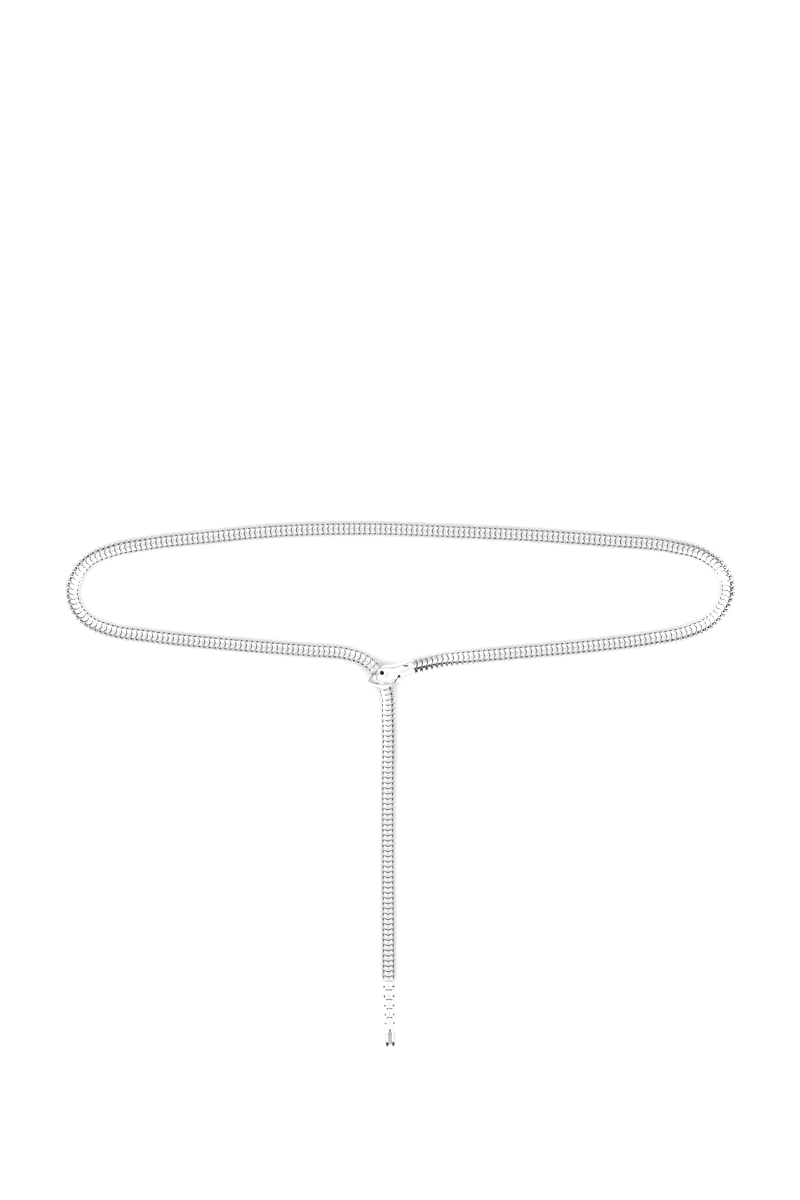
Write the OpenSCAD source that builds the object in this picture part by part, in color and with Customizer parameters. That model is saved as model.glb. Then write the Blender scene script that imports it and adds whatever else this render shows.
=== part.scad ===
// Snake chain belt worn round the waist, laid flat as one loop with a hanging tail.
// The snake's head lies over the far end of its own chain, with a hook under it, and the tail
// ends in a rattle.
// Millimetres, +Z up. The origin lies on the floor, under the middle of the whole outline.

/* [Chain] */
// Width of the chain across its side loops
chain_w = 7.3; // [6.8:0.1:7.6]
// Thickness of the chain from face to face
chain_h = 5; // [4.6:0.1:5.4]
// Radius that rounds the long edges of the chain
chain_round = 1.6; // [1.2:0.1:2]
// Distance from one link to the next
link_pitch = 2.85; // [2.7:0.05:3.1]
// Width of the scale plate in the middle of a link
scale_w = 4.4; // [4:0.1:4.8]
// How far the curved front of a scale plate bulges
scale_bulge = 1.2; // [0.6:0.1:1.4]
// Gap between two scale plates
scale_gap = 0.5; // [0.45:0.05:0.7]
// Thickness of a scale plate
scale_t = 0.8; // [0.6:0.05:0.9]
// Diameter of the posts that join the two plates of a link
post_d = 0.7; // [0.6:0.05:0.8]
// Wall of the side loops
loop_wall = 0.4; // [0.3:0.05:0.5]
// Clearance between moving metal parts
play = 0.25; // [0.15:0.05:0.3]

/* [Lie of the belt] */
// Width of the loop as it lies, across the chain's middle line
loop_w = 361; // [341:1:381]
// Depth of the loop as it lies, from the head to the far side
loop_d = 76; // [66:1:86]
// Length of the hanging chain from the head to the rattle
tail_drop = 170; // [140:1:200]

/* [Head] */
// Outer diameter of the neck that grips the chain
neck_d = 8.9; // [8.8:0.1:9.8]
// Depth of the socket in the neck
socket_depth = 5; // [4:0.5:6]
// Length from the neck's end to the snout
skull_len = 22.5; // [20.5:0.5:24.5]
// Width of the skull at the cheeks
skull_w = 10.7; // [9.5:0.1:12]
// Height of the skull's dome over the chain
skull_h = 5.2; // [4.5:0.1:6.5]
// Thickness of the lower jaw, which lies over the chain
jaw_t = 1.5; // [1.2:0.1:1.8]
// Thickness of the hook that holds the chain from below
hook_t = 1.15; // [0.9:0.05:1.4]
// How far the jaw's point reaches past the snout
jaw_reach = 3.5; // [2:0.5:5]
// Diameter of the black eye
eye_d = 2.2; // [1.6:0.1:2.8]
// Diameter of the pit at the corner of the mouth
pit_d = 1.5; // [0.8:0.1:1.8]
// Diameter of the hidden pin in the neck
pin_d = 1; // [0.8:0.1:1.4]

/* [Rattle and tip] */
// Distance from the first rattle segment to the second
rattle_pitch = 5.45; // [5.2:0.05:6]
// Width of the first rattle segment
rattle_w = 6.6; // [6:0.1:7]
// Each rattle segment's size as a share of the one before
rattle_taper = 0.965; // [0.95:0.005:1]
// Diameter of the bar that each segment hangs from
bar_d = 0.7; // [0.6:0.05:0.9]
// Length of the forked tip
tip_len = 11.6; // [9:0.2:14]
// Width of the forked tip over both prongs
tip_w = 5; // [4.6:0.1:5.6]
// Width of the slot between the prongs
tip_slot = 1.8; // [1.4:0.1:2]

/* [Hidden] */
$fn = 32;

silver = [0.86, 0.86, 0.87];
black = [0.05, 0.05, 0.06];
// How far a cut reaches past the surface it opens
over = 1;

// Sizes that the route below is drawn for, and how far the head's own stretch of it reaches
drawn_loop_w = 361;
drawn_loop_d = 76;
drawn_tail_drop = 170;
head_half_w = 30;
head_far_y = 92;
head_near_y = 38;
drawn_far_y = 140.5;
drawn_end_y = -105.6;

// Route of the chain's middle line, from the neck round the waist, between the snake's jaw and its
// hook, and down to the rattle. Columns: x, y, lift above where the chain would rest, and roll in degrees,
// with the side on the right of the travel raised.
drawn_route = [
    [3.6, 63.6, 1.7, 38],
    [9, 65, 1.6, 38],
    [22, 68, 0.6, 30],
    [38.5, 70, 0, 12],
    [71, 73, 0, 6],
    [104.5, 76, 0, 6],
    [137, 80, 0, 8],
    [160, 84.5, 0, 16],
    [169, 88.5, 0, 22],
    [176, 95.5, 0, 27],
    [180.2, 105, 0, 30],
    [179.8, 112.5, 0, 28],
    [175, 120.5, 0, 22],
    [166.5, 126.5, 0, 14],
    [151, 130.5, 0, 4],
    [115.5, 134, 0, 0],
    [71.5, 137, 0, 0],
    [27.5, 139, 0, 0],
    [-16, 140.5, 0, 0],
    [-71.5, 139, 0, 0],
    [-104.5, 136, 0, 0],
    [-137.5, 132.5, 0, 4],
    [-159, 128.5, 0, 10],
    [-170, 124, 0, 17],
    [-177.5, 116, 0, 20],
    [-180.5, 106.5, 0, 21],
    [-178, 97, 0, 20],
    [-171, 89.5, 0, 17],
    [-160, 85, 0, 10],
    [-137.5, 81.5, 0, 6],
    [-93.5, 77, 0, 4],
    [-49.5, 73.5, 0, 4],
    [-28, 71.5, 0.5, 6],
    [-20.5, 69, 1.2, 6],
    [-14.5, 64.5, 1.5, 2],
    [-10, 58, 1.4, -4],
    [-7.1, 50, 0.9, -10],
    [-6.5, 38, 0.2, -8],
    [-6.7, -10, 0, -2],
    [-6.3, -105.6, 0, 0],
];
// Row where the chain goes in under the head
head_row = 34;

// The same route at the sizes asked for: rows beyond the head's stretch move out in proportion
function beyond(v, from, to) = max(0, (v - from) / (to - from));
function laid(r) = [
    r[0] + sign(r[0]) * beyond(abs(r[0]), head_half_w, drawn_loop_w / 2) * (loop_w - drawn_loop_w) / 2,
    r[1] + beyond(r[1], head_far_y, drawn_far_y) * (loop_d - drawn_loop_d)
        - beyond(r[1], head_near_y, drawn_end_y) * (tail_drop - drawn_tail_drop),
    r[2], r[3]];
route = [for (r = drawn_route) laid(r)];

// A straight line through the first two rows runs on past the end, for the curve's end slope
function route_row(r, i) =
    i < 0 ? 2 * r[0] - r[1] :
    i >= len(r) ? 2 * r[len(r) - 1] - r[len(r) - 2] : r[i];

// Smooth curve between rows i and i + 1, with the slopes set by the distances between rows
function flat(p) = [p[0], p[1]];
function curve_at(r, i, t) =
    let (a = route_row(r, i - 1), b = r[i], c = r[i + 1], d = route_row(r, i + 2),
         d1 = norm(flat(b - a)), d2 = norm(flat(c - b)), d3 = norm(flat(d - c)),
         m1 = d2 * ((b - a) / d1 - (c - a) / (d1 + d2) + (c - b) / d2),
         m2 = d2 * ((c - b) / d2 - (d - b) / (d2 + d3) + (d - c) / d3))
    (2 * t ^ 3 - 3 * t ^ 2 + 1) * b + (t ^ 3 - 2 * t ^ 2 + t) * m1
    + (3 * t ^ 2 - 2 * t ^ 3) * c + (t ^ 3 - t ^ 2) * m2;

floor_gap = 0.02;

// Height of the chain's middle line where the rolled chain rests on the floor
function rest_height(roll) =
    (chain_w / 2 - chain_round) * abs(sin(roll)) + (chain_h / 2 - chain_round) * cos(roll) + chain_round
    + floor_gap;

// Close points along a route: x, y, z, roll
curve_steps = 12;
function lifted(q) = [q[0], q[1], rest_height(q[3]) + max(0, q[2]), q[3]];
function close_points(r) = [
    for (i = [0:len(r) - 2], k = [0:curve_steps - 1]) lifted(curve_at(r, i, k / curve_steps)),
    lifted(r[len(r) - 1])];

// Distance run at each close point, and the columns that a distance is looked up in
function place(q) = [q[0], q[1], q[2]];
function runs(p) = [
    for (i = 0, s = 0; i < len(p); i = i + 1,
         s = i < len(p) ? s + norm(place(p[i]) - place(p[i - 1])) : s) s];
function tables(p) = let (s = runs(p)) [for (c = [0:3]) [for (i = [0:len(p) - 1]) [s[i], p[i][c]]]];
function whole(p) = let (s = runs(p)) s[len(s) - 1];
function station(tb, s) = [for (c = [0:3]) lookup(s, tb[c])];

// Frame of the chain at a distance: travel, left and up directions, then the place
slope_step = 0.6;
function unit(v) = v / norm(v);
function travel(tb, s) = unit(place(station(tb, s + slope_step)) - place(station(tb, s - slope_step)));
function frame_at(tb, s) =
    let (t = travel(tb, s), left = unit(cross([0, 0, 1], t)), up = cross(t, left),
         q = station(tb, s), roll = q[3])
    [t, left * cos(roll) - up * sin(roll), up * cos(roll) + left * sin(roll), place(q)];
function frame_matrix(f) = [
    [f[0][0], f[1][0], f[2][0], f[3][0]],
    [f[0][1], f[1][1], f[2][1], f[3][1]],
    [f[0][2], f[1][2], f[2][2], f[3][2]],
    [0, 0, 0, 1]];

points = close_points(route);
run_table = tables(points);
loop_run = runs(points)[head_row * curve_steps];
tail_run = whole(points) - loop_run;
tail_links = floor(tail_run / link_pitch) - 1;
tail_step = tail_run / (tail_links + 1);
function loop_frame(s) = frame_at(run_table, s);
function tail_frame(s) = frame_at(run_table, loop_run + s);

// Rings of the swept chain, closer together where the route's rows are: 12 points round a
// rectangle with round corners
tube_rings = 79;
row_table = let (s = runs(points)) [for (i = [0:head_row * curve_steps]) [i, s[i]]];
function ring_run(i) = lookup(head_row * curve_steps * i / (tube_rings - 1), row_table);
corner_steps = [0, 45, 90];
corner_quads = [[1, 1, 0], [-1, 1, 90], [-1, -1, 180], [1, -1, 270]];
tube_section = [
    for (q = corner_quads, a = corner_steps)
        [q[0] * (chain_w / 2 - chain_round) + chain_round * cos(a + q[2]),
         q[1] * (chain_h / 2 - chain_round) + chain_round * sin(a + q[2])]];
tube_sides = len(tube_section);

// Faces that join rings of n points, with both ends closed
function ring_faces(rings, n) = concat(
    [[for (k = [0:n - 1]) k]],
    [for (i = [0:rings - 2], k = [0:n - 1], half = [0, 1])
        let (a = i * n + k, b = i * n + (k + 1) % n)
        half == 0 ? [a, a + n, b + n] : [a, b + n, b]],
    [[for (k = [n - 1:-1:0]) (rings - 1) * n + k]]);

// Middle of a link, its side loops and its posts, with x along the chain and y to the left
half_scale = scale_w / 2;
scale_len = link_pitch - scale_gap;
scale_points = [-1, -0.6, 0, 0.6, 1];
post_sides = 6;
function scale_front(v) = scale_len / 2 + scale_bulge * (1 - v ^ 2);
post_x = -0.3;
post_out = 0.1;
post_y = half_scale - post_d / 2 + post_out;
// Extra room along and across the chain, so that it can bend
bend_room = [0.18, 0.12];
loop_hole_x = post_d / 2 + play + bend_room[0];
loop_half_x = loop_hole_x + loop_wall;
loop_in_y = post_y - post_d / 2 - play - bend_room[1] - loop_wall;
loop_out_y = chain_w / 2;
loop_corner = [0.45, 0.9];
hole_corner = [0.5, 0.6];
loop_h = chain_h - 2 * scale_t - 2 * play;
riser_x = post_x + loop_half_x + play + bend_room[0];
riser_t = 0.35;
riser_w = 0.6;

// The head's own frame: x from the neck's end to the snout, y to the jaw's side
neck_end = [7.35, 64.5];
head_turn = 194.6;
neck_z = 5.3;
// Room over and under the chain in the head, and for its tilt
chain_room = 0.4;
tilt_room = 0.35;
roof_z = hook_t + chain_room + chain_h + tilt_room;
skull_top = roof_z + skull_h;
eye_proud = 0.1;
eye_z = skull_top + eye_proud - eye_d;
seat_room = 0.1;
eye_place = [0.77 * skull_len, -0.145 * skull_w];
pit_place = [0.395 * skull_len, 0.24 * skull_w];
pit_depth = 1.6;
slit_place = [3.7, -2];
slit_size = [2.3, 0.5];
slit_turn = -14;
slit_depth = 1;
pin_x = 2.6;
pin_room = 0.1;
pin_inset = 0.25;
socket_room = 0.15;
socket_r = norm([chain_w / 2 - chain_round, chain_h / 2 - chain_round]) + chain_round + socket_room;

// Sections of neck and skull in one. Columns: share of the length, shares of the skull's width to
// each side, then bottom, widest height and top above the floor
neck_r = neck_d / 2;
cheek_z = roof_z + 0.7;
function dome(share) = cheek_z + share * (skull_top - cheek_z);
neck_top = neck_z + neck_r;
head_rows = [
    [0.00, -neck_r / skull_w, neck_r / skull_w, neck_z - neck_r, neck_z, neck_top],
    [0.05, -neck_r / skull_w, neck_r / skull_w + 0.005, neck_z - neck_r, neck_z, neck_top],
    [0.17, -0.405, 0.435, 0.75, neck_z, neck_top],
    [0.285, -0.385, 0.48, 0.3, neck_z + 0.1, neck_top + 0.1],
    [0.39, -0.385, 0.51, 0.1, neck_z + 0.6, neck_top + 0.5],
    [0.49, -0.405, 0.525, 0.1, cheek_z - 0.8, dome(0.79)],
    [0.535, -0.425, 0.47, 0.1, cheek_z - 0.2, dome(0.87)],
    [0.605, -0.465, 0.49, 1, cheek_z, dome(0.96)],
    [0.68, -0.49, 0.51, 2, cheek_z, dome(1)],
    [0.765, -0.44, 0.48, 3, cheek_z, dome(0.97)],
    [0.85, -0.305, 0.42, 4, cheek_z, dome(0.82)],
    [0.925, -0.185, 0.32, 5, cheek_z, dome(0.58)],
    [0.98, -0.08, 0.21, 5.5, cheek_z, dome(0.3)],
    [1.00, -0.01, 0.11, 6, cheek_z, dome(0.12)]];
passage_x = 0.505 * skull_len;
// Sections of the lower jaw: shares of its length, of the skull's width to each side, and of its
// thickness
jaw_rows = [
    [0.40, -0.19, 0.40, 0.8], [0.48, -0.28, 0.51, 1], [0.55, -0.32, 0.60, 1], [0.61, -0.32, 0.665, 1],
    [0.67, -0.32, 0.70, 1], [0.72, -0.32, 0.69, 1], [0.77, -0.30, 0.62, 1], [0.82, -0.25, 0.51, 1],
    [0.87, -0.18, 0.41, 1], [0.92, -0.10, 0.32, 1], [0.96, -0.005, 0.235, 0.9],
    [0.99, 0.08, 0.17, 0.6], [1.00, 0.107, 0.145, 0.3]];
jaw_len = skull_len + jaw_reach;
jaw_room = 0.1;
jaw_mid_z = roof_z + jaw_room + jaw_t / 2;
// Sections of the hollow in the jaw that shows as the open mouth, in the same shares
mouth_rows = [
    [0.73, -0.22, 0.24], [0.785, -0.195, 0.35], [0.825, -0.155, 0.35], [0.86, -0.105, 0.31],
    [0.895, -0.05, 0.255], [0.93, 0.01, 0.195], [0.96, 0.07, 0.14]];
mouth_depth = 0.7;
// Sections of the hook: shares of the skull's length and of its width to each side
hook_rows = [
    [0.33, -0.20, 0.34], [0.43, -0.32, 0.48], [0.67, -0.38, 0.50], [0.84, -0.30, 0.45],
    [0.94, -0.17, 0.32], [0.99, -0.04, 0.20]];
hook_bend = 0.84;
hook_rise = 0.6;
flat_cut = 0.2;
mouth_line_len = 3.6;
mouth_line_w = 0.35;
mouth_line_turn = 38;
mouth_line_depth = 2.4;
body_sides = 24;

// A ring of points round one row: distance, low side, high side, bottom, widest height, top
function body_ring(r) = [
    for (k = [0:body_sides - 1])
        let (a = 360 * k / body_sides, c = cos(a), s = sin(a))
        [r[0],
         (r[1] + r[2]) / 2 + (r[2] - r[1]) / 2 * sign(c) * abs(c) ^ 0.85,
         r[4] + (s > 0 ? r[5] - r[4] : r[4] - r[3]) * sign(s) * abs(s) ^ 0.85]];

module lofted(rows) {
    polyhedron(
        [for (r = rows) each body_ring(r)],
        ring_faces(len(rows), body_sides));
}

// Places in the rattle: how far segment i lies from the chain's end, and its size
rattle_count = 5;
function rattle_size(i) = rattle_taper ^ i;
function rattle_at(i) = i == 0 ? 0 : rattle_at(i - 1) + rattle_pitch * rattle_size(i - 1);
bell_lead = 1.4;
chain_end = route[len(route) - 1];
rattle_start = [chain_end[0], chain_end[1] - bell_lead];
rattle_lean = 1.6;
rattle_h = chain_h;
bar_x = 0.62 * rattle_pitch;
bar_back = rattle_pitch - bar_x;
bar_inset = 0.6;
bar_h = rattle_h - 2 * bar_inset;
bell_gap = 0.6;
bell_len = rattle_pitch - bell_gap;
stem_w = 1.6;
stem_over = 0.6;
ring_wall = 0.4;
ring_r = bar_d / 2 + play + ring_wall;
ring_h = 1.5;
pocket_half = ring_r + 0.35;
pocket_h = ring_h + 0.6;
dimple_z = 0.45 * rattle_h;
bell_rows = [[0, 0.40, 0.42], [0.10, 0.60, 0.62], [0.26, 0.79, 0.80], [0.48, 0.88, 0.88],
             [0.62, 0.87, 0.87], [0.76, 0.97, 0.97], [0.87, 1.00, 1.00], [0.96, 0.97, 0.97],
             [1.00, 0.90, 0.90]];
bell_sides = 16;
tip_h = 3.6;
// Sections of the tip's shoulder: shares of its length, half width and half thickness
shoulder_rows = [[0, 0.30, 0.34], [0.08, 0.52, 0.60], [0.16, 0.80, 0.85], [0.26, 0.97, 1], [0.32, 1, 1]];
// Sections of a prong: share of the length, of its own width from the slot, and of its half thickness
prong_rows = [
    [0.22, 0.20, 0.75, 0.70], [0.32, 0, 1, 1], [0.55, 0, 1, 1], [0.80, 0, 1, 0.92],
    [0.90, 0.12, 0.88, 0.66], [0.97, 0.30, 0.70, 0.34], [1, 0.42, 0.56, 0.10]];
tip_pit_d = 0.9;
tip_pit_x = 0.2 * tip_len;
// Metal left between the pits in the tip's two faces
tip_web = 1;
slot_end_x = 0.34 * tip_len;

function oval_ring(x, low, high, half_h) = [
    for (k = [0:bell_sides - 1])
        let (a = 360 * k / bell_sides, c = cos(a), s = sin(a))
        [x, (low + high) / 2 + (high - low) / 2 * sign(c) * abs(c) ^ 0.7, half_h * sign(s) * abs(s) ^ 0.7]];

module scale_plate() {
    linear_extrude(scale_t)
        polygon(concat(
            [for (v = scale_points) [scale_front(v), v * half_scale]],
            [for (i = [len(scale_points) - 1:-1:0])
                [scale_front(scale_points[i]) - scale_len, scale_points[i] * half_scale]]));
}

module scales_and_posts() {
    for (side = [0, 1])
        mirror([0, 0, side])
            translate([0, 0, chain_h / 2 - scale_t])
                scale_plate();
    for (side = [-1, 1])
        translate([post_x, side * post_y, 0])
            cylinder(d = post_d, h = chain_h - scale_t, center = true, $fn = post_sides);
}

// Outline with its two outer corners cut off
module loop_outline(half_x, in_y, out_y, corner) {
    polygon([
        [-half_x, in_y], [-half_x, out_y - corner[1]], [-half_x * (1 - corner[0]), out_y],
        [half_x * (1 - corner[0]), out_y], [half_x, out_y - corner[1]], [half_x, in_y]]);
}

module side_loop() {
    translate([post_x + link_pitch, 0, 0])
        difference() {
            linear_extrude(loop_h, center = true)
                loop_outline(loop_half_x, loop_in_y, loop_out_y, loop_corner);
            linear_extrude(chain_h, center = true)
                loop_outline(loop_hole_x, loop_in_y + loop_wall, loop_out_y - loop_wall, hole_corner);
        }
    // Bar from the loop back to the plates
    translate([riser_x, loop_in_y, -loop_h / 2])
        cube([link_pitch + post_x - loop_hole_x - riser_x, loop_wall, loop_h]);
    translate([riser_x, loop_in_y, -chain_h / 2 + scale_t / 2])
        cube([riser_t, riser_w, chain_h - scale_t]);
}

module chain_link() {
    scales_and_posts();
    for (side = [0, 1])
        mirror([0, side, 0])
            side_loop();
}

module loop_chain() {
    color(silver) {
        difference() {
            polyhedron(
                [for (i = [0:tube_rings - 1])
                    let (f = loop_frame(ring_run(i)))
                    for (p = tube_section) f[3] + f[1] * p[0] + f[2] * p[1]],
                ring_faces(tube_rings, tube_sides));
            in_head()
                pin_bore();
        }
        // The last link hooks into the tail
        multmatrix(frame_matrix(tail_frame(0)))
            chain_link();
    }
}

module tail_chain() {
    color(silver)
        for (i = [1:tail_links])
            multmatrix(frame_matrix(tail_frame(i * tail_step)))
                chain_link();
}

module in_head() {
    translate([neck_end[0], neck_end[1], 0])
        rotate([0, 0, head_turn])
            children();
}

module pin_bore() {
    translate([pin_x, 0, neck_z])
        rotate([90, 0, 0])
            cylinder(d = pin_d + 2 * pin_room, h = 2 * neck_d, center = true);
}

module snake_head() {
    color(silver)
        in_head()
            difference() {
                union() {
                    difference() {
                        lofted([for (r = head_rows)
                            [r[0] * skull_len, r[1] * skull_w, r[2] * skull_w, r[3], r[4], r[5]]]);
                        // Room for the chain that runs under the skull
                        translate([passage_x, -skull_w, -over])
                            cube([skull_len, 2 * skull_w, roof_z + over]);
                    }
                    difference() {
                        lofted([for (r = jaw_rows)
                            let (half_t = r[3] * jaw_t / 2)
                            [r[0] * jaw_len, r[1] * skull_w, r[2] * skull_w,
                             jaw_mid_z - half_t, jaw_mid_z, jaw_mid_z + half_t]]);
                        // The open mouth
                        lofted([for (r = mouth_rows)
                            [r[0] * jaw_len, r[1] * skull_w, r[2] * skull_w,
                             jaw_mid_z + jaw_t / 2 - mouth_depth, jaw_mid_z + jaw_t / 2, jaw_mid_z + jaw_t]]);
                    }
                    lofted([for (r = hook_rows)
                        let (rise = hook_rise * (max(0, r[0] - hook_bend) / (1 - hook_bend)) ^ 2)
                        [r[0] * skull_len, r[1] * skull_w, r[2] * skull_w,
                         rise - flat_cut, rise + hook_t / 2, rise + hook_t]]);
                }
                // Flat underside that rests on the floor
                translate([-over, -skull_w, -over])
                    cube([2 * skull_len, 2 * skull_w, over]);
                // Socket for the chain's first links
                translate([-over, 0, neck_z])
                    rotate([0, 90, 0])
                        cylinder(r = socket_r, h = socket_depth + over);
                pin_bore();
                // Seat of the eye
                translate([eye_place[0], eye_place[1], eye_z - seat_room])
                    cylinder(d = eye_d + 2 * seat_room, h = eye_d + over);
                // Pit at the corner of the mouth
                translate([pit_place[0], pit_place[1], neck_top - pit_depth])
                    cylinder(d = pit_d, h = skull_h);
                // Line from the pit to the edge of the jaw
                translate([pit_place[0], pit_place[1], neck_top - mouth_line_depth])
                    rotate([0, 0, mouth_line_turn])
                        translate([0, -mouth_line_w / 2, 0])
                            cube([mouth_line_len, mouth_line_w, skull_h]);
                // Slit near the neck
                translate([slit_place[0], slit_place[1], neck_top - slit_depth])
                    rotate([0, 0, slit_turn])
                        translate([-slit_size[0] / 2, -slit_size[1] / 2, 0])
                            cube([slit_size[0], slit_size[1], slit_depth + over]);
            }
}

module eye() {
    color(black)
        in_head()
            translate([eye_place[0], eye_place[1], eye_z + eye_d / 2])
                sphere(d = eye_d);
}

module neck_pin() {
    color(silver)
        in_head()
            translate([pin_x, 0, neck_z])
                rotate([90, 0, 0])
                    cylinder(d = pin_d, h = neck_d - 2 * pin_inset, center = true);
}

// Rattle and tip stand with x along the chain, placed below its end
module along_rattle(i) {
    size = rattle_size(i);
    translate([rattle_start[0], rattle_start[1], 0])
        rotate([0, 0, rattle_lean - 90])
            translate([rattle_at(i), 0, rattle_h / 2 * size])
                scale(size)
                    children();
}

// Ring round the bar of the segment above, on a stem
module hanging_ring() {
    translate([-bar_back, 0, 0])
        difference() {
            cylinder(r = ring_r, h = ring_h, center = true);
            cylinder(r = ring_r - ring_wall, h = 2 * ring_h, center = true);
        }
    translate([-bar_back + ring_r - ring_wall / 2, -stem_w / 2, -ring_h / 2])
        cube([bar_back - ring_r + stem_over, stem_w, ring_h]);
}

module bell() {
    difference() {
        polyhedron(
            [for (r = bell_rows)
                each oval_ring(r[0] * bell_len, -r[1] * rattle_w / 2, r[1] * rattle_w / 2, r[2] * rattle_h / 2)],
            ring_faces(len(bell_rows), bell_sides));
        // Pocket for the ring of the segment below
        translate([bar_x - pocket_half, -pocket_half, -pocket_h / 2])
            cube([2 * bell_len, 2 * pocket_half, pocket_h]);
        // Dimple over the bar's end
        translate([bar_x, 0, dimple_z])
            cylinder(d = bar_d, h = rattle_h);
    }
    translate([bar_x, 0, 0])
        cylinder(d = bar_d, h = bar_h, center = true);
}

module rattle(i) {
    color(silver)
        along_rattle(i) {
            bell();
            if (i > 0)
                hanging_ring();
        }
}

module rattle_1() {
    rattle(0);
    // Plates and posts that the chain's last link holds
    color(silver)
        multmatrix(frame_matrix(tail_frame(tail_run)))
            scales_and_posts();
}

module rattle_2() { rattle(1); }
module rattle_3() { rattle(2); }
module rattle_4() { rattle(3); }
module rattle_5() { rattle(4); }

module prong() {
    prong_w = (tip_w - tip_slot) / 2;
    polyhedron(
        [for (r = prong_rows)
            each oval_ring(r[0] * tip_len, tip_slot / 2 + r[1] * prong_w, tip_slot / 2 + r[2] * prong_w,
                r[3] * tip_h / 2)],
        ring_faces(len(prong_rows), bell_sides));
}

module fork() {
    difference() {
        union() {
            polyhedron(
                [for (r = shoulder_rows)
                    each oval_ring(r[0] * tip_len, -r[1] * tip_w / 2, r[1] * tip_w / 2, r[2] * tip_h / 2)],
                ring_faces(len(shoulder_rows), bell_sides));
            for (side = [0, 1])
                mirror([0, side, 0])
                    prong();
        }
        translate([slot_end_x, 0, 0])
            cylinder(d = tip_slot, h = 2 * tip_h, center = true);
        // Small pit in each face of the shoulder
        for (side = [0, 1])
            mirror([0, 0, side])
                translate([tip_pit_x, 0, tip_web / 2])
                    cylinder(d = tip_pit_d, h = tip_h);
    }
}

module tail_tip() {
    color(silver)
        along_rattle(rattle_count) {
            hanging_ring();
            scale(1 / rattle_size(rattle_count))
                fork();
        }
}

snake_head();
eye();
neck_pin();
loop_chain();
tail_chain();
rattle_1();
rattle_2();
rattle_3();
rattle_4();
rattle_5();
tail_tip();
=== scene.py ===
# %% [markdown]
# # A snake chain belt, laid flat
# The belt is one loop of snake chain. Its head is hooked over the chain's own far end, and the
# rest hangs down as a tail with a rattle and a forked tip. The solids come from CAD as a fixed
# frame, and this script gives them their looks: links instead of a plain tube, soft cast forms
# instead of facets, polished metal, a black stone, soft light and a camera straight above.

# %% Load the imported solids
import math

import bmesh
import bpy
import numpy as np
from mathutils import Matrix, Vector


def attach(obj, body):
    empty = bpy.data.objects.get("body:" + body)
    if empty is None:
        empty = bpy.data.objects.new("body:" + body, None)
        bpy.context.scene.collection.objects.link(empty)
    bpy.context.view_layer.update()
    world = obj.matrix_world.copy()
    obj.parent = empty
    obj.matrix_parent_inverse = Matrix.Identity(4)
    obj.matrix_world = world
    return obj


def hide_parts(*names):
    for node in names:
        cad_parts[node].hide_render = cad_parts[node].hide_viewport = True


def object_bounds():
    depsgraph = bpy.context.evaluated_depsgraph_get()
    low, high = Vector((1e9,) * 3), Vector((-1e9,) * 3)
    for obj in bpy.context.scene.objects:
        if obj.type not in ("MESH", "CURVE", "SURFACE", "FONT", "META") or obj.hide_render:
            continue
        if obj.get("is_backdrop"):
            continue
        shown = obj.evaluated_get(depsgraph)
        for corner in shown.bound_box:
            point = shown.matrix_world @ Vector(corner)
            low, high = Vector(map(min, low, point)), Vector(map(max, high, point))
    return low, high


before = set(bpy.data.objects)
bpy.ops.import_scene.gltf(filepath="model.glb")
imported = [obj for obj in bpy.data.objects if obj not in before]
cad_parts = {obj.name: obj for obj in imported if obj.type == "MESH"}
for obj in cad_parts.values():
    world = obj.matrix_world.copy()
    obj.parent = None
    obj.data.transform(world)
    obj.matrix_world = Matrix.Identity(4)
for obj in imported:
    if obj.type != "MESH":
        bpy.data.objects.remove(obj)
cad_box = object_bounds()
print("solids:", ", ".join(sorted(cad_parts)))

# %% [markdown]
# ## Camera
# The photograph looks straight down at a belt on a white surface. A long lens far away keeps the
# head, which is the highest part, from looking larger than the chain. In a portrait picture
# Blender fits the sensor's 36 mm to the tall side, so the distance follows from the height that
# the picture has to cover.

# %% Camera straight above
picture_h = 0.66
lens = 100
sensor = 36
view_middle = (0, 0.1015)

camera = bpy.data.objects.new("camera", bpy.data.cameras.new("camera"))
bpy.context.scene.collection.objects.link(camera)
camera.data.lens = lens
camera.data.sensor_width = sensor
camera.data.clip_start = 0.01
camera.location = (*view_middle, picture_h * lens / sensor)
bpy.context.scene.camera = camera
print("camera height:", round(camera.location.z, 3), "m")

# %% [markdown]
# ## Light
# Polished metal shows what stands round it, so for metal the surroundings are the light. A white
# sky makes the faces that look up bright, as in the photograph, and a greyer horizon draws a soft
# grey line along each slanted edge, without which white metal would vanish on a white floor. One
# broad light above adds the faint shadow that ties the belt to the floor, and one at each side
# keeps that shadow light. The plain Standard view keeps white white: the default view would bend
# a white studio towards grey and wash out the thin dark lines between the links.

# %% White surroundings and three broad lights
sky_strength = 1.25
# height above the horizon, and how white it is there
sky_whites = ((0.0, 0.35), (0.3, 0.7), (0.55, 1.0), (0.88, 1.0), (0.97, 0.76))

world = bpy.data.worlds.new("white_studio")
world.use_nodes = True
bpy.context.scene.world = world
bpy.context.scene.view_settings.view_transform = "Standard"
sky = world.node_tree
surroundings = sky.nodes["Background"]
surroundings.inputs["Strength"].default_value = sky_strength
direction = sky.nodes.new("ShaderNodeTexCoord")
height = sky.nodes.new("ShaderNodeSeparateXYZ")
shade = sky.nodes.new("ShaderNodeValToRGB")
sky.links.new(direction.outputs["Generated"], height.inputs[0])
sky.links.new(height.outputs["Z"], shade.inputs["Fac"])
sky.links.new(shade.outputs["Color"], surroundings.inputs["Color"])
for at, white in sky_whites:
    stop = shade.color_ramp.elements.new(at)
    stop.color = (white, white, white, 1)
shade.color_ramp.elements.remove(shade.color_ramp.elements[0])
shade.color_ramp.elements.remove(shade.color_ramp.elements[-1])


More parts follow.
